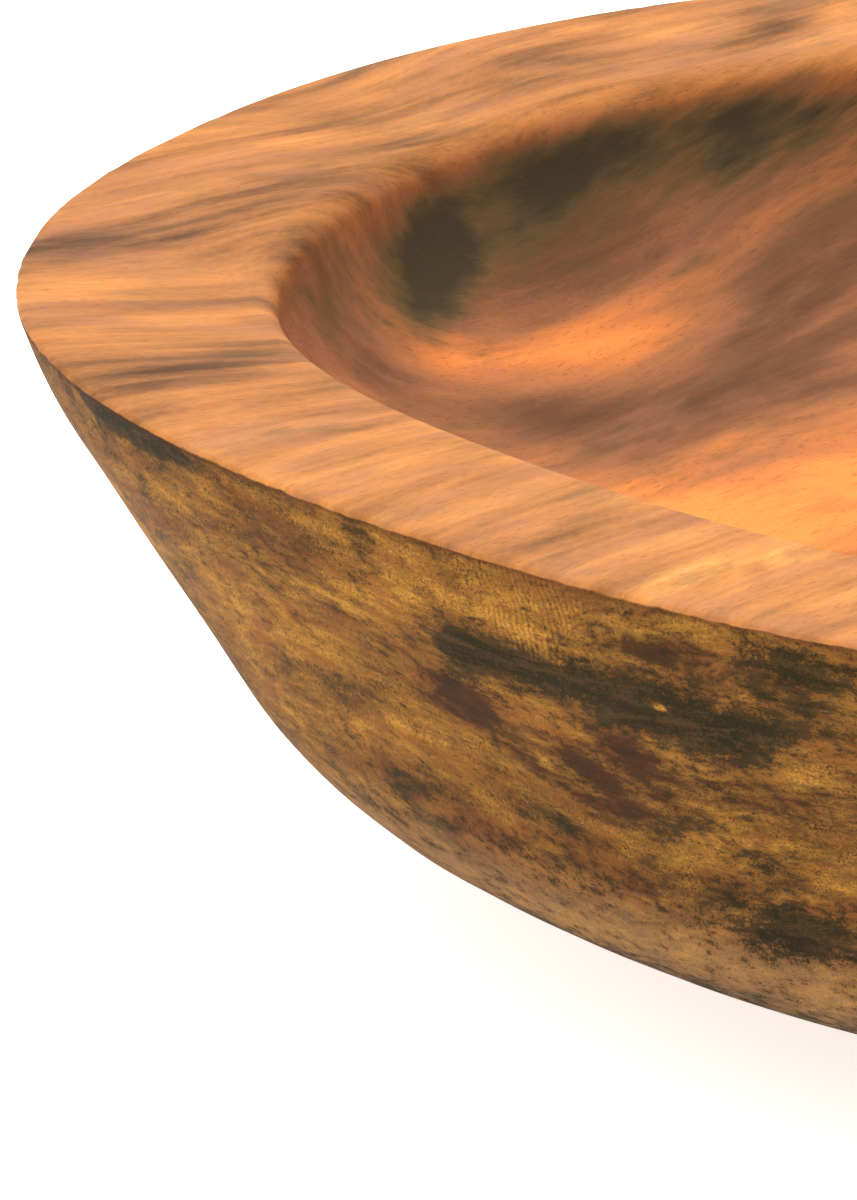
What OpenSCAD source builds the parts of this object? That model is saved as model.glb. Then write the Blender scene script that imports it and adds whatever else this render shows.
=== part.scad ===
// Carved wooden bowl: one block of timber, cut to a wide flat rim, a leaning
// flank that turns under to a flat foot, and a smooth hollow.
// The outline is cut by eye, so it is a little out of round.
// The bowl stands on z = 0, and the middle of its outline is on the Z axis.

/* [Rim] */
// Mean diameter across the outer edge of the rim
rim_d = 300; // [270:5:400]
// Wall width at the top, from the outer edge to the side of the hollow
rim_w = 33; // [24:1:40]
// How far the top of the rim falls from its outer edge to its inner lip
rim_fall = 1.4; // [0:0.1:3]
// Radius of the crisp outer edge
edge_r = 0.8; // [0.4:0.1:2]
// Radius of the soft inner lip
lip_r = 4; // [2:0.5:6]

/* [Body] */
// Overall height
bowl_h = 80; // [76:1:86]
// Lean of the wall just under the rim, in degrees from vertical
shoulder_lean = 18; // [14:1:24]
// Radius of the slow curve between the shoulder and the straight flank
shoulder_r = 64; // [50:1:80]
// Lean of the straight flank, in degrees from vertical
flank_lean = 31.5; // [29:0.5:34]
// Depth below the rim at which the flank starts to turn under
belly_depth = 48; // [44:1:50]
// Height of the straight underside, between the belly's curve and the foot
under_h = 12; // [8:0.5:13]
// Lean of the straight underside, in degrees from vertical
under_lean = 72; // [68:1:74]
// Radius of the worn edge of the foot
foot_r = 2; // [1:0.5:3]

/* [Hollow] */
// Depth of the hollow at its middle, below the outer edge of the rim
hollow_depth = 61; // [50:1:64]
// Fullness of the hollow: 2 is an ellipse, more makes it squarer
hollow_fullness = 2.15; // [1.9:0.05:2.6]

/* [Outline] */
// Share of the radius by which the outline is oval
oval = 0.055; // [0:0.001:0.06]
// Direction of the oval's long axis, in degrees
oval_turn = 112; // [0:1:180]
// Share of the radius by which the outline has four soft corners
four_corner = 0.022; // [0:0.001:0.03]
// Direction of the first of the four corners, in degrees
corner_turn = 4; // [0:1:90]

/* [Fineness] */
// Points round each ring of the surface
round_steps = 72; // [60:4:96]
// Points along each long curve of the section
curve_steps = 8; // [6:1:10]

/* [Hidden] */
mean_r = rim_d / 2;
edge_steps = 3;
lip_steps = 4;
foot_steps = 2;
shoulder_steps = 3;
hollow_steps = 2 * curve_steps;

// Outer edge of the rim at angle a, about the Z axis.
function outline(a) = mean_r * (1
    + oval * cos(2 * (a - oval_turn))
    + four_corner * cos(4 * (a - corner_turn)));

angles = [for (i = [0 : round_steps - 1]) 360 * i / round_steps];

// The outer section is a list of [inset from the rim, depth below it].
// A curve's lean grows from a0 to a1 as it goes down.
function curve(from, r, a0, a1, steps) = [for (i = [0 : steps])
    let (a = a0 + (a1 - a0) * i / steps)
    from + r * [cos(a0) - cos(a), sin(a) - sin(a0)]];

edge = curve([0, 0], edge_r, -90, shoulder_lean, edge_steps);
edge_top = -min([for (p = edge) p[0]]);
shoulder = curve(edge[edge_steps], shoulder_r, shoulder_lean, flank_lean, shoulder_steps);
shoulder_end = shoulder[shoulder_steps];
flank_drop = belly_depth - shoulder_end[1];
belly_start = shoulder_end + flank_drop * [tan(flank_lean), 1];
belly_r = (bowl_h - under_h - belly_depth) / (sin(under_lean) - sin(flank_lean));
belly = curve(belly_start, belly_r, flank_lean, under_lean, curve_steps);
under_drop = under_h - foot_r * (1 - sin(under_lean));
under_end = belly[curve_steps] + under_drop * [tan(under_lean), 1];
foot_edge = curve(under_end, foot_r, under_lean, 90, foot_steps);

function join(parts) = [for (part = parts) each part];
function but_first(list) = [for (i = [1 : len(list) - 1]) list[i]];
outer = join([edge, but_first(shoulder), belly, foot_edge]);

// The rim's soft lip is [distance out from the hollow's side, depth].
lip = [for (i = [0 : lip_steps])
    let (a = 90 * i / lip_steps)
    [lip_r * (1 - sin(a)), rim_fall + lip_r * (1 - cos(a))]];
lip_depth = rim_fall + lip_r;

// The hollow is [share of its radius at the lip, depth].
hollow = [for (i = [1 : hollow_steps - 1])
    let (t = 90 * i / hollow_steps,
         share = pow(cos(t), 2 / hollow_fullness),
         drop = pow(sin(t), 2 / hollow_fullness))
    [share, lip_depth + (hollow_depth - lip_depth) * drop]];

function ring(depth, radii) = [for (i = [0 : round_steps - 1])
    [radii[i] * cos(angles[i]), radii[i] * sin(angles[i]), bowl_h - depth]];

outer_rings = [for (p = outer)
    ring(p[1], [for (a = angles) outline(a) * (1 - (p[0] + edge_top) / mean_r)])];
lip_rings = [for (p = lip)
    ring(p[1], [for (a = angles) outline(a) - rim_w + p[0]])];
hollow_rings = [for (p = hollow)
    ring(p[1], [for (a = angles) (outline(a) - rim_w) * p[0]])];

// Rings run from the middle of the hollow, up over the lip and rim, and down to the foot.
function backwards(rings) = [for (i = [len(rings) - 1 : -1 : 0]) rings[i]];
rings = concat(backwards(hollow_rings), backwards(lip_rings), outer_rings);
hollow_middle = [0, 0, bowl_h - hollow_depth];

function at(ring_index, i) = 1 + ring_index * round_steps + i % round_steps;

module bowl() {
    last = len(rings) - 1;
    points = concat([hollow_middle], join(rings));
    middle_faces = [for (i = [0 : round_steps - 1]) [0, at(0, i + 1), at(0, i)]];
    side_faces = [for (k = [0 : last - 1], i = [0 : round_steps - 1], half = [0, 1])
        half == 0 ? [at(k, i), at(k, i + 1), at(k + 1, i)]
                  : [at(k, i + 1), at(k + 1, i + 1), at(k + 1, i)]];
    foot_face = [[for (i = [0 : round_steps - 1]) at(last, i)]];
    color("peru") polyhedron(points, concat(middle_faces, side_faces, foot_face), convexity = 6);
}

bowl();
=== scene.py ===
"""Looks of a carved wooden bowl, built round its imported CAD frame.

The bowl is one closed mesh, lofted from the same outline and section as the CAD node that it
replaces, with the small unevenness that hand carving leaves. Broad colour marks are laid on its
vertices as attributes, and the node material breaks them up into grain, fibres, pores and mottling.
"""

import math

import bpy
import numpy as np
from mathutils import Matrix, Vector


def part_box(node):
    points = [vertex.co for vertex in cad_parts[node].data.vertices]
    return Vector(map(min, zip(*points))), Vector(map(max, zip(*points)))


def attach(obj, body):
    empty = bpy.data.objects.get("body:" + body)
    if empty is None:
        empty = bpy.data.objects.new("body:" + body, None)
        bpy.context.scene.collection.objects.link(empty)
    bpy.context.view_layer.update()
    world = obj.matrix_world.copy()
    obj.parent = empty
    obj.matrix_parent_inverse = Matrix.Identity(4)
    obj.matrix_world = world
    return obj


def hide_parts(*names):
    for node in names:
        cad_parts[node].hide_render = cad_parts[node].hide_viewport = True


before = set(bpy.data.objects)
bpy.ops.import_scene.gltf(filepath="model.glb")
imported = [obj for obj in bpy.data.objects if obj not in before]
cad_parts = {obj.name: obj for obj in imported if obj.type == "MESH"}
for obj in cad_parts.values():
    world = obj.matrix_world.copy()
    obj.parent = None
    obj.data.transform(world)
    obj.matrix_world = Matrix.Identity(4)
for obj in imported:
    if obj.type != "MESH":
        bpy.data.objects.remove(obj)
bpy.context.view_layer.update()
low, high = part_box("bowl")

# ---------------------------------------------------------------- sizes, in metres and radians
MM = 0.001
OVAL, OVAL_TURN = 0.055, math.radians(112)
FOUR_CORNER, CORNER_TURN = 0.022, math.radians(4)

BOWL_H = high.z - low.z
RIM_W, RIM_FALL = 33 * MM, 1.4 * MM
EDGE_R, LIP_R, FOOT_R = 0.8 * MM, 4 * MM, 2 * MM
SHOULDER_LEAN, FLANK_LEAN, UNDER_LEAN = math.radians(18), math.radians(31.5), math.radians(72)
SHOULDER_R, BELLY_DEPTH, UNDER_H = 64 * MM, 48 * MM, 12 * MM
HOLLOW_DEPTH, HOLLOW_FULLNESS = 61 * MM, 2.15

AROUND = 600                    # points round each ring
FOOT_RINGS = 8                  # rings across the flat of the foot
FOOT_HOLLOW = 0.6 * MM          # rise of the middle of the foot
FOOT_RISES = (0.55, 0.9)        # shares of the foot's radius between which it rises
TOUCHING = 0.01 * MM            # what is lower than this is on the foot
PICTURED = math.radians(225)    # the middle of the part of the wall that faces the camera
DENSER = 1.3                    # how much denser the points round each ring are there
DENSER_REACH = math.radians(60)
FAR_SIDE = math.radians(140)    # the middle of the part of the hollow's wall that faces the camera
LIP_REACH = 110 * MM            # about how far the hollow's lip is from the middle
EDGE_REACH = 1.2 * MM           # how far wear reaches on each side of the rim's edge

# Steps along each stretch of the section.
EDGE_STEPS, SHOULDER_STEPS, FLANK_STEPS = 6, 9, 33
BELLY_STEPS, UNDER_STEPS, FOOT_STEPS = 18, 8, 3
HOLLOW_STEPS, LIP_STEPS, RIM_STEPS = 52, 8, 17

# Depths of the marks that hand tools and wear leave, in millimetres.
WALL_WAVE, FINE_WALL_WAVE, RIM_WAVE, HOLLOW_WAVE = 0.16, 0.05, 0.05, 0.25
EDGE_NICK, EDGE_WEAR = 0.20, 0.20


def outline_share(angle):
    """Outer edge of the rim at an angle about Z, as a share of the mean radius."""
    return (1 + OVAL * np.cos(2 * (angle - OVAL_TURN))
            + FOUR_CORNER * np.cos(4 * (angle - CORNER_TURN)))


def mean_radius():
    """The mean radius whose outline just fills the CAD bowl's box."""
    turn = np.linspace(0, math.tau, 3600)
    wide = np.max(outline_share(turn) * np.cos(turn))
    deep = np.max(outline_share(turn) * np.sin(turn))
    return min((high.x - low.x) / 2 / wide, (high.y - low.y) / 2 / deep)


MEAN_R = mean_radius()


# ---------------------------------------------------------------- the section of the bowl
def leaning_arc(start, radius, lean_from, lean_to, steps):
    """(inset, depth) points of an arc whose lean from vertical changes as it goes down."""
    lean = np.linspace(lean_from, lean_to, steps + 1)
    turned = np.stack([math.cos(lean_from) - np.cos(lean),
                       np.sin(lean) - math.sin(lean_from)], axis=1)
    return np.asarray(start) + radius * turned


def straight(start, lean, drop, steps):
    """(inset, depth) points of a straight wall that goes down by drop."""
    fall = np.linspace(0, drop, steps + 1)[:, None]
    return np.asarray(start) + fall * np.array([math.tan(lean), 1.0])


def outer_section():
    """The outside from the top of the rim's edge down to the foot, as (inset, depth)."""
    edge = leaning_arc((0, 0), EDGE_R, -math.pi / 2, SHOULDER_LEAN, EDGE_STEPS)
    shoulder = leaning_arc(edge[-1], SHOULDER_R, SHOULDER_LEAN, FLANK_LEAN, SHOULDER_STEPS)
    flank = straight(shoulder[-1], FLANK_LEAN, BELLY_DEPTH - shoulder[-1][1], FLANK_STEPS)
    belly_r = ((BOWL_H - UNDER_H - BELLY_DEPTH)
               / (math.sin(UNDER_LEAN) - math.sin(FLANK_LEAN)))
    belly = leaning_arc(flank[-1], belly_r, FLANK_LEAN, UNDER_LEAN, BELLY_STEPS)
    under_drop = UNDER_H - FOOT_R * (1 - math.sin(UNDER_LEAN))
    under = straight(belly[-1], UNDER_LEAN, under_drop, UNDER_STEPS)
    foot = leaning_arc(under[-1], FOOT_R, UNDER_LEAN, math.pi / 2, FOOT_STEPS)
    section = np.concatenate([edge, shoulder[1:], flank[1:], belly[1:], under[1:], foot[1:]])
    section[:, 0] -= edge[:, 0].min()
    return section


def section_rings():
    """Rings from the middle of the hollow, up over the rim and down to the middle of the foot.

    Each is [share of the outline's radius, metres out from there, depth in metres].
    """
    lip_depth = RIM_FALL + LIP_R
    hollow = []
    for turn in np.linspace(math.pi / 2, 0, HOLLOW_STEPS + 1)[1:-1]:
        share = math.cos(turn) ** (2 / HOLLOW_FULLNESS)
        drop = math.sin(turn) ** (2 / HOLLOW_FULLNESS)
        hollow.append([share, -RIM_W * share, lip_depth + (HOLLOW_DEPTH - lip_depth) * drop])
    lip = [[1, LIP_R * (1 - math.sin(turn)) - RIM_W, RIM_FALL + LIP_R * (1 - math.cos(turn))]
           for turn in np.linspace(math.pi / 2, 0, LIP_STEPS + 1)]
    outer = outer_section()
    inner_edge, outer_edge = LIP_R - RIM_W, -outer[0][0]
    rim = [[1, inner_edge + (outer_edge - inner_edge) * step, RIM_FALL * (1 - step)]
           for step in np.linspace(0, 1, RIM_STEPS + 1)[1:-1]]
    wall = [[1 - inset / MEAN_R, 0, depth] for inset, depth in outer]
    foot = [[wall[-1][0] * step, 0, BOWL_H] for step in np.linspace(1, 0, FOOT_RINGS + 2)[1:-1]]
    return np.array(hollow + lip + rim + wall + foot)


# ---------------------------------------------------------------- fields over the surface
def ripple(points, size, seed, waves=40):
    """A smooth random field with features of about that size, seeded, and a spread of about 1."""
    rng = np.random.default_rng(seed)
    heading = rng.normal(size=(3, waves))
    heading /= np.linalg.norm(heading, axis=0)
    pitch = math.tau / (size * rng.uniform(1.4, 3.2, waves))
    phase = rng.uniform(0, math.tau, waves)
    return np.cos(points @ (heading * pitch) + phase).sum(axis=1) * math.sqrt(2 / waves)


def smooth_step(start, end, value):
    share = np.clip((value - start) / (end - start), 0, 1)
    return share * share * (3 - 2 * share)


def laid_marks(across, along, marks):
    """Sum of soft oblong marks: (place, place, heading, half length, half width, amount).

    Places and sizes are in millimetres in the two directions given, and headings in degrees.
    """
    total = np.zeros(len(across))
    for place_a, place_b, heading, length, width, amount in marks:
        a, b = across - place_a * MM, along - place_b * MM
        turn = math.radians(heading)
        ahead = (a * math.cos(turn) + b * math.sin(turn)) / (length * MM)
        aside = (b * math.cos(turn) - a * math.sin(turn)) / (width * MM)
        total += amount * np.exp(-ahead ** 2 - aside ** 2)
    return total


# ---------------------------------------------------------------- the bowl's mesh
def ring_angles():
    """Angles round the rings, closer together on the side that faces the camera."""
    even = np.linspace(0, math.tau, 4001)
    density = 1 + DENSER * np.exp(-((even - PICTURED) / DENSER_REACH) ** 2)
    reached = np.concatenate([[0], np.cumsum((density[1:] + density[:-1]) / 2)])
    return np.interp(np.arange(AROUND) / AROUND, reached / reached[-1], even)


def grid_faces(ring_count):
    """Quads between rings and a fan at each end, whose middles are the last two vertices."""
    here = np.arange(AROUND)
    after = np.roll(here, -1)
    final = (ring_count - 1) * AROUND
    hollow_middle, foot_middle = ring_count * AROUND, ring_count * AROUND + 1
    faces = [(hollow_middle, a, b) for a, b in zip(here, after)]
    for near in range(0, final, AROUND):
        far = near + AROUND
        faces += [(near + a, far + a, far + b, near + b) for a, b in zip(here, after)]
    faces += [(foot_middle, final + b, final + a) for a, b in zip(here, after)]
    return faces


def lofted_points():
    """The bowl's vertices as plain carved, with each one's angle and distance past the rim's edge.

    The distance runs along the surface: below zero on the rim and hollow, above zero on the wall.
    """
    rings = section_rings()
    angles = ring_angles()
    edge = MEAN_R * outline_share(angles)
    radius = np.outer(rings[:, 0], edge) + rings[:, 1:2]
    height = BOWL_H - np.repeat(rings[:, 2:3], AROUND, axis=1)
    grid = np.stack([radius * np.cos(angles), radius * np.sin(angles), height], axis=2)
    section = np.stack([rings[:, 0] * MEAN_R + rings[:, 1], rings[:, 2]], axis=1)
    run = np.concatenate([[0], np.cumsum(np.linalg.norm(np.diff(section, axis=0), axis=1))])
    run -= run[np.argmax(section[:, 0])]
    past_edge = np.repeat(run[:, None], AROUND, axis=1)
    middles = np.array([[0, 0, BOWL_H - HOLLOW_DEPTH], [0, 0, 0]])
    points = np.concatenate([grid.reshape(-1, 3), middles])
    turn = np.concatenate([np.tile(angles, len(rings)), [0, 0]])
    past_edge = np.concatenate([past_edge.ravel(), [run[0], run[-1]]])
    return points, turn, past_edge, len(rings)


def carved_depth(points, past_edge):
    """How far hand tools and wear have taken the surface in from the plain shape."""
    outside = smooth_step(-1 * MM, 1 * MM, past_edge)
    inside = smooth_step(-RIM_W + 3 * MM, -RIM_W - 8 * MM, past_edge)
    rim = (1 - outside) * (1 - inside)
    wall_waves = WALL_WAVE * (1 + 0.6 * ripple(points, 34 * MM, 1))
    wall_waves += FINE_WALL_WAVE * (1 + ripple(points, 9 * MM, 2))
    rim_waves = RIM_WAVE * (1 + 0.7 * ripple(points, 22 * MM, 3))
    hollow_waves = HOLLOW_WAVE * (1 + 0.6 * ripple(points, 30 * MM, 4))
    depth = outside * wall_waves + rim * rim_waves + inside * hollow_waves
    at_edge = np.exp(-(past_edge / EDGE_REACH) ** 2)
    nicks = smooth_step(0.9, 2.4, ripple(points, 2.6 * MM, 5))
    worn = smooth_step(0.2, 2.0, ripple(points, 14 * MM, 6))
    depth += at_edge * (EDGE_NICK * nicks + EDGE_WEAR * worn)
    return np.clip(depth, 0, None) * MM


def foot_rise(points):
    """How high the middle of the foot is hollowed, so that the bowl stands on its outer ring."""
    foot_r = MEAN_R * section_rings()[-FOOT_RINGS - 1, 0]
    reach = np.hypot(points[:, 0], points[:, 1]) / foot_r
    return FOOT_HOLLOW * (1 - smooth_step(*FOOT_RISES, reach))


# ---------------------------------------------------------------- where the colours lie
# Each list holds marks for laid_marks: (place, place, heading, half length, half width, amount).
# The rim's and the hollow's streaks, in plan, seen from above: the places are x and y. An amount
# above zero is bright orange heartwood, and one below zero is brown.
RIM_STREAKS = [
    (-134, 20, 22, 20, 9, -0.45), (-130, 3, 24, 22, 4, 0.10), (-131, -9, 27, 22, 2.5, -0.30),
    (-132, -18, 30, 20, 5, 0.05), (-124, -35, 38, 20, 6, -0.70), (-112, -52, 44, 18, 8, 0.15),
    (-106, -66, 48, 16, 4, -0.25), (-99, -72, 52, 16, 6, 0.45), (-95, -82, 58, 16, 4, -0.06),
    (-88, -92, 60, 14, 5, 0.20), (-80, -100, 62, 14, 3, -0.25), (-66, -112, 66, 18, 9, 0.25),
    (-60, -113, 68, 3, 1.2, -0.50), (-54, -120, 70, 16, 5, 0.20), (-126, 62, 55, 30, 8, 0.05),
    (-112, 46, 55, 20, 7, -0.30), (-92, 100, 62, 18, 5, 0.05), (-100, 96, 50, 46, 20, -0.12),
    (-104, 72, 52, 14, 5, -0.20), (-78, 118, 62, 12, 7, -0.25), (-46, 134, 75, 14, 6, -0.35),
    (-60, 132, 60, 12, 6, 0.15),
]
FLOOR_STREAKS = [
    (-72, 80, 49, 26, 3.2, 0.62), (-92, 57, 55, 14, 3.5, 0.35), (-98, 38, 62, 20, 7, -0.20),
    (-80, 88, 50, 26, 4, -0.40), (-63, 76, 45, 30, 4.5, -0.55), (-80, 61, 48, 16, 4, -0.35),
    (-40, 104, 45, 16, 6, -0.30), (-45, 60, 42, 52, 13, 0.62), (-68, 48, 42, 18, 9, 0.45),
    (-14, 66, 40, 34, 12, 0.60), (-14, 100, 40, 26, 6, 0.30), (10, 10, 38, 50, 8, -0.60),
    (30, -30, 42, 60, 10, 0.50), (60, 20, 45, 40, 7, -0.50), (-40, 20, 44, 30, 5, -0.45),
]
# Olive and black staining high on the hollow's wall, with painted shade laid into it where that wall
# is turned
# from the light, unrolled: the places are the distance to the right of the far side, and the height,
# which is below zero under the top of the rim.
HOLLOW_STAINS_AND_SHADE = [
    (-9, -14, 25, 12, 7.5, 1.15), (-6, -19, 10, 12, 5, 0.55), (12, -16, 5, 10, 4, 0.40),
    (22, -9, 5, 17, 7.5, 1.15), (-36, -10, 0, 14, 9, 0.25), (-50, -16, 0, 14, 10, 0.05),
    (47, -9, 75, 13, 8, 0.75), (62, -10, 0, 11, 9, 0.50), (8, -12, 0, 66, 10, 0.32),
    (0, -4, 10, 7, 2.5, -0.60), (150, -12, 0, 34, 6, 0.80), (215, -9, 0, 18, 5, 0.60),
    (-150, -13, 5, 30, 6, 0.55),
]
# A small pale spot on the outer wall, which the stain and the bruising leave bare.
SPOT = (37.5, -14.6, 0, 1.3, 0.8)
# Black staining on the outer wall, and a band of painted shade along its bottom, unrolled: the places
# are the distance to the right of the middle of the pictured part, and the height, as above.
WALL_STAINS_AND_SHADE = [
    (13, -15, -6, 10, 3.0, 1.30), (4, -16, 20, 5, 3.2, 1.10), (34, -15, -2, 14, 4.2, 1.50),
    (46, -16, 0, 6, 3.8, 0.90), (59, -6, 0, 6, 4.5, 1.05), (55, -13, 30, 7, 3.0, 0.60),
    (-8, -3, 60, 4, 2.5, 0.80), (50, -8, 0, 14, 7.0, 0.20), (-58, -1.4, 0, 15, 2.4, 2.00),
    (-13, -19, 50, 3, 1.8, 0.50), (12, -40, 0, 4, 1.5, 0.60), (31, -35, 0, 6, 2.5, 0.50),
    (42, -35, 0, 6, 2.2, 0.45), (49, -45, 5, 16, 5.0, 1.00), (-30, -43, 10, 9, 2.5, 0.40),
    (-46, -51, 0, 14, 2.5, 0.45), (4, -47, 0, 14, 1.8, 0.40), (-31, -29, 0, 3, 1.2, 0.30),
    # painted shade: the long low band darkens the underside where it turns in over the floor
    (0, -64, 0, 90, 4.5, 0.70), (*SPOT, -1.70),
]
# Purple-brown bruising, laid in the same way.
WALL_BRUISES = [
    (0, -23, -14, 7, 3.4, 1.50), (9, -31, -20, 5, 1.8, 0.90), (19, -28, -25, 6, 2.6, 1.50),
    (29, -25, 0, 6, 4.0, 1.20), (34, -12, 0, 12, 5.0, 0.60), (39, -7, 0, 4, 2.0, 0.90),
    (-34, -14, 60, 5, 3.5, 0.70), (-8, -26, 0, 8, 2.5, 0.40), (48, -24, 4, 14, 5.0, 0.60),
    (22, -33, 0, 10, 1.8, 0.50), (-14, -46, 3, 16, 3.0, 0.50), (20, -45, 0, 18, 3.0, 0.50),
    (-24, -8, 30, 8, 3.0, 0.35), (50, -38, 0, 8, 2.0, 0.50), (38, -30, 0, 26, 8, 0.40),
    (10, -48, 0, 50, 5, 0.20), (-40, -12, 40, 16, 5, 0.10), (44, -5, 0, 15, 3.5, 0.60),
    (*SPOT, -1.20),
]
# Where the outer wall is a brighter ochre, and a peach strip of painted light low down, where the
# floor lights it.
WALL_OCHRE_AND_LIGHT = [
    (-26, -25, 25, 28, 8, 0.05), (-5, -10, 30, 11, 6, 0.45), (12, -21, -4, 11, 3.2, 0.85),
    (40, -21, 2, 12, 2.0, 0.45), (54, -14, 0, 5, 3.5, 0.60), (26, -38, 0, 10, 2.8, 0.55),
    # painted light: the strip at depth 55 mm stands for light thrown up from the floor
    (-10, -34, 6, 30, 4, 0.30), (30, -55, 0, 24, 2.6, 0.60), (40, -3, 0, 12, 3, 0.25),
    (-50, -24, 40, 18, 7, 0.30), (-62, -30, 90, 34, 12, 0.28), (18, -7, 0, 11, 4, 0.42),
    (*SPOT, 0.25),
]
KNOT = (6, -5)                  # its place on the unrolled wall, in millimetres
KNOT_ARCS = (5, 29)             # how far its arcs begin and end from its middle, in millimetres
# Where the streaks of the wood swing round: (x, y, reach, turn in degrees), in plan.
SWIRLS = [(-72, -118, 50, 19), (60, 90, 50, 22), (90, -70, 45, -20)]
STREAK_HEADING = math.radians(47)
BEND_FROM, BEND_SLOPE = -112 * MM, 0.35     # the streaks lie flatter past this x, at the left
BEND_WIDTH = 8 * MM             # how gently they start to bend
RING_TILT = 0.45                # how far the growth rings lean over, as a slope
MARKS_REACH = math.radians(48)  # how far from its middle the pictured part's marks reach
MARKS_FLATNESS = 3.5            # how much longer than high the random marks elsewhere are


def wood_coordinates(points):
    """(across the rings, along the fibres, height) for the rim and hollow, in metres."""
    x, y, z = points.T
    for place_x, place_y, reach, turn in SWIRLS:
        from_x, from_y = x - place_x * MM, y - place_y * MM
        fade = np.exp(-(from_x ** 2 + from_y ** 2) / (reach * MM) ** 2)
        angle = -math.radians(turn) * fade
        x = place_x * MM + from_x * np.cos(angle) - from_y * np.sin(angle)
        y = place_y * MM + from_x * np.sin(angle) + from_y * np.cos(angle)
    across = -x * math.sin(STREAK_HEADING) + y * math.cos(STREAK_HEADING) + RING_TILT * z
    past_bend = BEND_WIDTH * np.logaddexp(0, (BEND_FROM - x) / BEND_WIDTH)
    across = across - BEND_SLOPE * past_bend * smooth_step(70 * MM, 0, y)
    along = x * math.cos(STREAK_HEADING) + y * math.sin(STREAK_HEADING)
    across = across + 2.2 * MM * ripple(points, 30 * MM, 11)
    return np.stack([across, along, z], axis=1)


def skin_coordinates(points, turn, past_edge):
    """(x, y, depth) on an upright drum, on which streaks that run round the wall lie level."""
    sway = 5 * MM * np.sin(turn - math.radians(200)) + 2 * MM * ripple(points, 40 * MM, 12)
    return np.stack([MEAN_R * np.cos(turn), MEAN_R * np.sin(turn), past_edge + sway], axis=1)


def wall_fields(points, turn, arc, depth):
    """Stain with painted shade along the bottom, bruise, and ochre with painted light low down, on the
    outer wall: laid marks where it is pictured, random elsewhere.
    """
    elsewhere = 1 - np.exp(-((turn - PICTURED) / MARKS_REACH) ** 4)
    flattened = points * [1, 1, MARKS_FLATNESS]
    random_stain = 0.26 * (ripple(flattened, 30 * MM, 21) + ripple(flattened, 13 * MM, 24)) - 0.15
    random_bruise = 0.32 * (ripple(flattened, 26 * MM, 23) + ripple(flattened, 11 * MM, 25))
    random_ochre = 0.25 * ripple(flattened, 30 * MM, 22)
    stain_and_shade = laid_marks(arc, -depth, WALL_STAINS_AND_SHADE) + elsewhere * random_stain
    bruise = laid_marks(arc, -depth, WALL_BRUISES) + elsewhere * random_bruise
    ochre_and_light = laid_marks(arc, -depth, WALL_OCHRE_AND_LIGHT) + elsewhere * random_ochre
    return stain_and_shade, bruise, ochre_and_light


def knot_fields(arc, depth):
    """Distance from the knot's middle, and how clearly its arcs show: right of it, near the rim."""
    beside, above = arc - KNOT[0] * MM, -depth - KNOT[1] * MM
    away = np.hypot(beside, 0.8 * above)
    begin, end = KNOT_ARCS[0] * MM, KNOT_ARCS[1] * MM
    clear = smooth_step(begin, 2 * begin, away) * smooth_step(end, 0.7 * end, away)
    clear *= smooth_step(-2 * MM, 5 * MM, beside) * smooth_step(17 * MM, 12 * MM, depth)
    return away, clear


def colour_fields(points, turn, past_edge):
    """Every attribute that the wood's material reads, by name."""
    x, y, z = points.T
    depth = BOWL_H - z
    arc = (turn - PICTURED) * MEAN_R
    inner_arc = (FAR_SIDE - turn) * LIP_REACH
    in_hollow = smooth_step(RIM_FALL + 1 * MM, RIM_FALL + 8 * MM, depth) * (past_edge < 0)
    tone = laid_marks(x, y, RIM_STREAKS) * (1 - in_hollow)
    tone += laid_marks(x, y, FLOOR_STREAKS) * in_hollow
    # painted shade: the hollow's stain marks also darken its far wall as if it were shaded
    stain_and_shade_hollow = in_hollow * laid_marks(inner_arc, -depth, HOLLOW_STAINS_AND_SHADE)
    stain_and_shade_wall, bruise, ochre_and_light = wall_fields(points, turn, arc, depth)
    from_knot, near_knot = knot_fields(arc, depth)
    return {
        "wood": wood_coordinates(points),
        "skin": skin_coordinates(points, turn, past_edge),
        "past_edge": past_edge,
        "tone": tone,
        "stain_and_shade": np.where(past_edge < 0, stain_and_shade_hollow, stain_and_shade_wall),
        "bruise": bruise,
        "ochre_and_light": ochre_and_light,
        "in_hollow": in_hollow,
        "from_knot": from_knot,
        "near_knot": near_knot * (past_edge > 0),
    }


def add_attributes(mesh, fields):
    for name, values in fields.items():
        if values.ndim == 2:
            made = mesh.attributes.new(name, "FLOAT_VECTOR", "POINT")
            made.data.foreach_set("vector", values.astype(np.float32).ravel())
        else:
            made = mesh.attributes.new(name, "FLOAT", "POINT")
            made.data.foreach_set("value", values.astype(np.float32))


def make_bowl():
    points, turn, past_edge, ring_count = lofted_points()
    mesh = bpy.data.meshes.new("carved_bowl")
    mesh.from_pydata(points, [], grid_faces(ring_count))
    mesh.update()
    normals = np.zeros(len(points) * 3, np.float32)
    mesh.vertices.foreach_get("normal", normals)
    fields = colour_fields(points, turn, past_edge)
    on_foot = points[:, 2] < TOUCHING
    points = points - normals.reshape(-1, 3) * carved_depth(points, past_edge)[:, None]
    points[:, 2] = np.where(on_foot, foot_rise(points), np.clip(points[:, 2], 0, None))
    mesh.vertices.foreach_set("co", points.ravel())
    mesh.shade_smooth()
    mesh.update()
    add_attributes(mesh, fields)
    bowl = bpy.data.objects.new("carved_bowl", mesh)
    bpy.context.scene.collection.objects.link(bowl)
    return bowl


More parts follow.
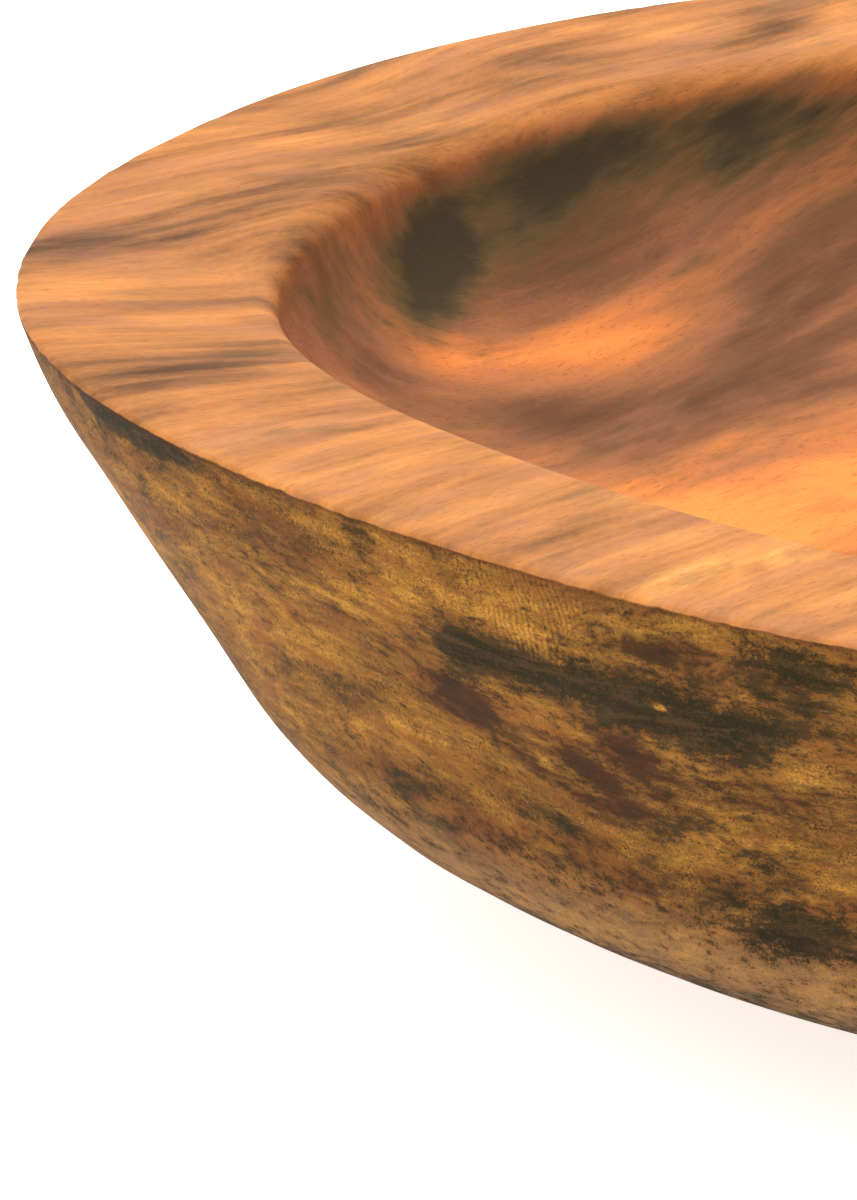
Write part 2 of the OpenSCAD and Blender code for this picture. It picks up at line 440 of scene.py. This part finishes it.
# ---------------------------------------------------------------- writing materials
class Shader:
    """A short way to write a material's nodes as nested calls."""

    def __init__(self, name):
        self.material = bpy.data.materials.new(name)
        self.material.use_nodes = True
        self.tree = self.material.node_tree
        self.tree.nodes.clear()

    def feed(self, socket, value):
        if isinstance(value, bpy.types.NodeSocket):
            self.tree.links.new(value, socket)
        elif socket.type == "RGBA":
            socket.default_value = (*value, 1)
        else:
            socket.default_value = value

    def node(self, kind, inputs, **settings):
        made = self.tree.nodes.new("ShaderNode" + kind)
        for name, value in settings.items():
            setattr(made, name, value)
        for socket, value in inputs.items():
            self.feed(made.inputs[socket], value)
        return made

    def attribute(self, name, output="Fac"):
        return self.node("Attribute", {}, attribute_name=name).outputs[output]

    def math(self, operation, a, b=0.0, c=0.0):
        return self.node("Math", {0: a, 1: b, 2: c}, operation=operation).outputs[0]

    def add(self, *values):
        total = values[0]
        for value in values[1:]:
            total = self.math("ADD", total, value)
        return total

    def times(self, a, b):
        return self.math("MULTIPLY", a, b)

    def step(self, value, start, end, to_start=0.0, to_end=1.0):
        """A smooth step from to_start to to_end as value goes from start to end."""
        made = self.node("MapRange", {0: value, 1: start, 2: end, 3: to_start, 4: to_end},
                         interpolation_type="SMOOTHSTEP")
        return made.outputs[0]

    def noise(self, coordinates, pitch, detail=3.0, roughness=0.55, distortion=0.0, shift=0.0):
        """Noise from 0 to 1 with features of pitch metres in each of the three directions."""
        scaled = self.node("VectorMath", {0: coordinates, 1: [1 / size for size in pitch]},
                           operation="MULTIPLY").outputs[0]
        moved = self.node("VectorMath", {0: scaled, 1: (shift, shift * 0.7, shift * 1.3)},
                          operation="ADD").outputs[0]
        made = self.node("TexNoise", {"Vector": moved, "Scale": 1.0, "Detail": detail,
                                      "Roughness": roughness, "Distortion": distortion})
        return made.outputs["Fac"]

    def swing(self, value, amount):
        """Noise about its middle, from about -amount to amount."""
        return self.math("MULTIPLY_ADD", value, 2 * amount, -amount)

    def ramp(self, value, stops):
        """A colour ramp of (place, colour) stops."""
        made = self.node("ValToRGB", {0: value})
        elements = made.color_ramp.elements
        elements[0].position, elements[1].position = stops[0][0], stops[-1][0]
        elements[0].color, elements[1].color = (*stops[0][1], 1), (*stops[-1][1], 1)
        for place, colour in stops[1:-1]:
            elements.new(place).color = (*colour, 1)
        return made.outputs[0]

    def mix(self, share, a, b):
        """Colour a turning into colour b as share goes from 0 to 1."""
        made = self.node("Mix", {0: share, 6: a, 7: b}, data_type="RGBA")
        return made.outputs[2]

    def finish(self, inputs):
        shader = self.node("BsdfPrincipled", inputs)
        self.node("OutputMaterial", {"Surface": shader.outputs[0]})
        return self.material


# ---------------------------------------------------------------- the wood
# Colours are linear RGB, and a ramp is a list of (place, colour) stops from dark to bright.
RIM_WOOD = [
    (0.00, (0.085, 0.036, 0.014)), (0.22, (0.190, 0.078, 0.026)), (0.42, (0.340, 0.132, 0.039)),
    (0.60, (0.465, 0.180, 0.050)), (0.80, (0.580, 0.240, 0.062)), (1.00, (0.700, 0.340, 0.095)),
]
HOLLOW_WOOD = [
    (0.00, (0.100, 0.048, 0.026)), (0.25, (0.190, 0.082, 0.042)), (0.45, (0.310, 0.126, 0.056)),
    (0.60, (0.440, 0.162, 0.060)), (0.80, (0.640, 0.208, 0.060)), (1.00, (0.840, 0.275, 0.068)),
]
WEATHERED = [
    (0.00, (0.029, 0.017, 0.007)), (0.25, (0.088, 0.040, 0.012)), (0.50, (0.188, 0.083, 0.017)),
    (0.75, (0.285, 0.130, 0.021)), (1.00, (0.440, 0.215, 0.036)),
]
# The next two colours fill the outer wall's black stains and also the painted shade along its bottom.
OLIVE_BLACK = (0.014, 0.013, 0.006)
SOOT_AND_SHADE_BROWN = (0.044, 0.025, 0.011)
# The next two colours fill the hollow's stains and the painted shade on its far wall.
OLIVE_BROWN = (0.122, 0.083, 0.037)
OLIVE_SHADE = (0.050, 0.044, 0.026)
PURPLE_BROWN = (0.034, 0.014, 0.008)
PINK_BROWN = (0.360, 0.148, 0.078)
RED_BROWN = (0.165, 0.056, 0.015)
MAROON = (0.070, 0.022, 0.010)
# painted light: a pale peach laid on the lowest part of the outer wall, where the floor lights it
PALE_PAINTED_LIGHT = (0.400, 0.245, 0.130)
PORE_BROWN = (0.150, 0.055, 0.028)


def fresh_wood(sh, wood):
    """Colour of the cut heartwood on the rim and in the hollow, and its fibres' relief."""
    bands = sh.noise(wood, (10 * MM, 60 * MM, 60 * MM), detail=3, roughness=0.5, distortion=0.5)
    mottle = sh.noise(wood, (4 * MM, 14 * MM, 12 * MM), detail=2, roughness=0.5, shift=2.0)
    streaks = sh.noise(wood, (1.8 * MM, 34 * MM, 20 * MM), detail=2, roughness=0.5, shift=4.0)
    fibres = sh.noise(wood, (0.36 * MM, 1.6 * MM, 6.0 * MM), detail=3, roughness=0.7,
                      distortion=0.4, shift=9.0)
    flecks = sh.noise(wood, (0.30 * MM, 1.8 * MM, 4.0 * MM), detail=1, shift=15.0)
    in_hollow = sh.attribute("in_hollow")
    grain = sh.add(sh.swing(mottle, 0.24), sh.swing(streaks, 0.22), sh.swing(fibres, 0.20))
    grain = sh.times(grain, sh.step(in_hollow, 0.0, 1.0, 1.0, 0.50))
    value = sh.add(sh.times(sh.attribute("tone"), 0.72), 0.52, sh.swing(bands, 0.60), grain,
                   sh.times(in_hollow, -0.06))
    colour = sh.mix(in_hollow, sh.ramp(value, RIM_WOOD), sh.ramp(value, HOLLOW_WOOD))
    pink = sh.noise(wood, (7 * MM, 22 * MM, 18 * MM), detail=4, roughness=0.6, shift=7.0)
    colour = sh.mix(sh.step(pink, 0.46, 0.66, 0.0, 0.40), colour, PINK_BROWN)
    pores = sh.step(flecks, 0.62, 0.70)
    colour = sh.mix(sh.times(pores, 0.30), colour, PORE_BROWN)
    relief = sh.add(sh.swing(fibres, 0.6), sh.times(pores, -0.6))
    return colour, relief


def hollow_stain_and_shade(sh, wood, colour):
    """Olive staining and painted shade high on the wall of the hollow, darkest at its middle."""
    feather = sh.noise(wood, (7 * MM, 22 * MM, 14 * MM), detail=4, roughness=0.6, shift=21.0)
    grain = sh.noise(wood, (1.2 * MM, 9 * MM, 5 * MM), detail=3, roughness=0.6, shift=24.0)
    stain_and_shade = sh.add(sh.attribute("stain_and_shade"), sh.swing(feather, 0.9), sh.swing(grain, 0.45))
    shade = sh.mix(sh.step(stain_and_shade, 0.55, 1.35), OLIVE_BROWN, OLIVE_SHADE)
    return sh.mix(sh.step(stain_and_shade, -0.05, 0.95, 0.0, 0.95), colour, shade)


def knot_rings(sh, skin):
    """Fine arcs round the knot just under the rim, faded out away from it."""
    away = sh.attribute("from_knot")
    wobble = sh.noise(skin, (9 * MM, 9 * MM, 5 * MM), detail=2, shift=71.0)
    turns = sh.add(sh.times(away, math.tau / (0.9 * MM)), sh.swing(wobble, 9.0))
    patches = sh.noise(skin, (5 * MM, 5 * MM, 7 * MM), detail=2, shift=75.0)
    seen = sh.times(sh.step(patches, 0.40, 0.60), sh.attribute("near_knot"))
    return sh.times(sh.math("SINE", turns), seen)


def weathered_skin(sh, skin, past_edge):
    """Colour of the old outer surface, ochre and brown with dark mottling, painted light low down and
    painted shade at the very bottom, and its relief.
    """
    clouds = sh.noise(skin, (20 * MM, 20 * MM, 7 * MM), detail=5, roughness=0.6, distortion=0.6)
    streaks = sh.noise(skin, (11 * MM, 11 * MM, 1.6 * MM), detail=4, roughness=0.6, shift=5.0)
    blots = sh.noise(skin, (2.2 * MM, 2.2 * MM, 1.3 * MM), detail=5, roughness=0.7, shift=11.0)
    specks = sh.noise(skin, (0.42 * MM, 0.42 * MM, 0.40 * MM), detail=2, roughness=0.7, shift=17.0)
    value = sh.add(sh.times(sh.attribute("ochre_and_light"), 0.45), 0.49, sh.swing(clouds, 0.72),
                   sh.swing(streaks, 0.38), sh.swing(blots, 0.46), sh.swing(specks, 1.00),
                   sh.times(knot_rings(sh, skin), 0.15))
    colour = sh.ramp(value, WEATHERED)
    warm = sh.noise(skin, (16 * MM, 16 * MM, 4 * MM), detail=6, roughness=0.62, shift=31.0)
    colour = sh.mix(sh.step(warm, 0.44, 0.62, 0.0, 0.58), colour, RED_BROWN)
    # painted light: the wall turns paler towards the bottom, as if lit from the floor
    colour = sh.mix(sh.step(past_edge, 48.0, 64.0, 0.0, 0.26), colour, PALE_PAINTED_LIGHT)
    torn = sh.noise(skin, (7 * MM, 7 * MM, 3 * MM), detail=8, roughness=0.70, distortion=0.4,
                    shift=36.0)
    bruise = sh.add(sh.attribute("bruise"), sh.swing(torn, 1.6), sh.swing(blots, 1.1),
                    sh.swing(specks, 0.9))
    colour = sh.mix(sh.step(bruise, 0.05, 1.15, 0.0, 0.93), colour, PURPLE_BROWN)
    ragged = sh.noise(skin, (6 * MM, 6 * MM, 3 * MM), detail=8, roughness=0.72, distortion=0.4,
                      shift=41.0)
    # the stain mask holds real black staining and also the painted shade band along the bottom of the
    # wall
    stain_and_shade = sh.add(sh.attribute("stain_and_shade"), sh.swing(ragged, 1.7), sh.swing(blots, 1.2),
                   sh.swing(specks, 1.2))
    dark = sh.step(stain_and_shade, 0.0, 0.85)
    soot_and_shade = sh.add(blots, sh.swing(streaks, 0.5), sh.swing(specks, 0.4))
    soot_and_shade = sh.mix(sh.step(soot_and_shade, 0.42, 0.70), OLIVE_BLACK, SOOT_AND_SHADE_BROWN)
    colour = sh.mix(sh.times(dark, 0.95), colour, soot_and_shade)
    relief = sh.add(sh.swing(blots, 0.4), sh.swing(specks, 0.8), sh.times(dark, -0.3))
    return colour, relief


def wood_material():
    sh = Shader("carved_wood")
    wood, skin = sh.attribute("wood", "Vector"), sh.attribute("skin", "Vector")
    inner_colour, inner_relief = fresh_wood(sh, wood)
    inner_colour = hollow_stain_and_shade(sh, wood, inner_colour)
    past_edge = sh.times(sh.attribute("past_edge"), 1 / MM)
    outer_colour, outer_relief = weathered_skin(sh, skin, past_edge)
    rubbed = sh.noise(skin, (3 * MM, 3 * MM, 4 * MM), detail=3, roughness=0.5, shift=51.0)
    border = sh.add(past_edge, sh.swing(rubbed, 0.35))
    outer_colour = sh.mix(sh.step(border, 0.8, 0.1, 0.0, 0.40), outer_colour, MAROON)
    outside = sh.step(border, -0.40, -0.05)
    colour = sh.mix(outside, inner_colour, outer_colour)
    relief = sh.node("Mix", {0: outside, 2: inner_relief, 3: outer_relief}).outputs[0]
    bump = sh.node("Bump", {"Strength": 0.4, "Distance": 0.15 * MM, "Height": relief})
    sheen = sh.noise(wood, (9 * MM, 26 * MM, 9 * MM), shift=61.0)
    gloss = sh.add(0.48, sh.swing(sheen, 0.10), sh.times(outside, 0.12))
    polish = sh.step(outside, 0.0, 1.0, 0.025, 0.015)
    return sh.finish({"Base Color": colour, "Roughness": gloss, "Normal": bump.outputs[0],
                      "Specular IOR Level": polish})


def floor_material():
    """A pale table lit a little from below, so that the bowl's shadow stays faint."""
    sh = Shader("pale_floor")
    return sh.finish({"Base Color": (0.88, 0.875, 0.865), "Roughness": 0.75,
                      "Specular IOR Level": 0.2, "Emission Color": (1.0, 0.985, 0.96),
                      "Emission Strength": 0.72})


# ---------------------------------------------------------------- camera, floor and light
CAMERA_LENS, CAMERA_SENSOR = 203.9, 36.0
CAMERA_PLACE = Vector((-0.640 * MEAN_R, -5.451 * MEAN_R, BOWL_H + 1.546 * MEAN_R))
CAMERA_DOWN, CAMERA_ROLL = math.radians(18.52), math.radians(-0.63)
FLOOR_HALF = 6.0                # half the width of the table
WORLD_COLOUR, WORLD_STRENGTH = (1.0, 0.99, 0.975), 1.25
KEY_PLACE, KEY_AIM, KEY_SIZE, KEY_POWER = (0.0, 0.35, 1.6), (0, 0, 0.05), 1.4, 22
KEY_COLOUR = (1.0, 0.97, 0.92)


def make_camera():
    camera = bpy.data.objects.new("camera", bpy.data.cameras.new("camera"))
    camera.data.lens = CAMERA_LENS
    camera.data.sensor_width = CAMERA_SENSOR
    camera.data.clip_end = 50
    camera.matrix_world = (Matrix.Translation(CAMERA_PLACE)
                           @ Matrix.Rotation(math.pi / 2 - CAMERA_DOWN, 4, "X")
                           @ Matrix.Rotation(CAMERA_ROLL, 4, "Z"))
    bpy.context.scene.collection.objects.link(camera)
    bpy.context.scene.camera = camera


def make_floor():
    mesh = bpy.data.meshes.new("floor")
    corners = [(x * FLOOR_HALF, y * FLOOR_HALF, 0) for x, y in [(-1, -1), (1, -1), (1, 1), (-1, 1)]]
    mesh.from_pydata(corners, [], [(0, 1, 2, 3)])
    floor = bpy.data.objects.new("floor", mesh)
    floor.data.materials.append(floor_material())
    bpy.context.scene.collection.objects.link(floor)


def make_soft_lamp(name, place, aim, size, power, colour):
    lamp = bpy.data.objects.new(name, bpy.data.lights.new(name, "AREA"))
    lamp.data.shape = "DISK"
    lamp.data.size = size
    lamp.data.energy = power
    lamp.data.color = colour
    lamp.location = place
    lamp.rotation_euler = (Vector(aim) - Vector(place)).to_track_quat("-Z", "Y").to_euler()
    bpy.context.scene.collection.objects.link(lamp)


def light_scene():
    world = bpy.data.worlds.new("studio")
    world.use_nodes = True
    background = world.node_tree.nodes["Background"]
    background.inputs[0].default_value = (*WORLD_COLOUR, 1)
    background.inputs[1].default_value = WORLD_STRENGTH
    bpy.context.scene.world = world
    bpy.context.scene.view_settings.view_transform = "Standard"
    make_soft_lamp("key", KEY_PLACE, KEY_AIM, KEY_SIZE, KEY_POWER, KEY_COLOUR)


make_camera()
make_floor()
light_scene()

bowl = make_bowl()
bowl.data.materials.append(wood_material())
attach(bowl, "root")
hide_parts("bowl")
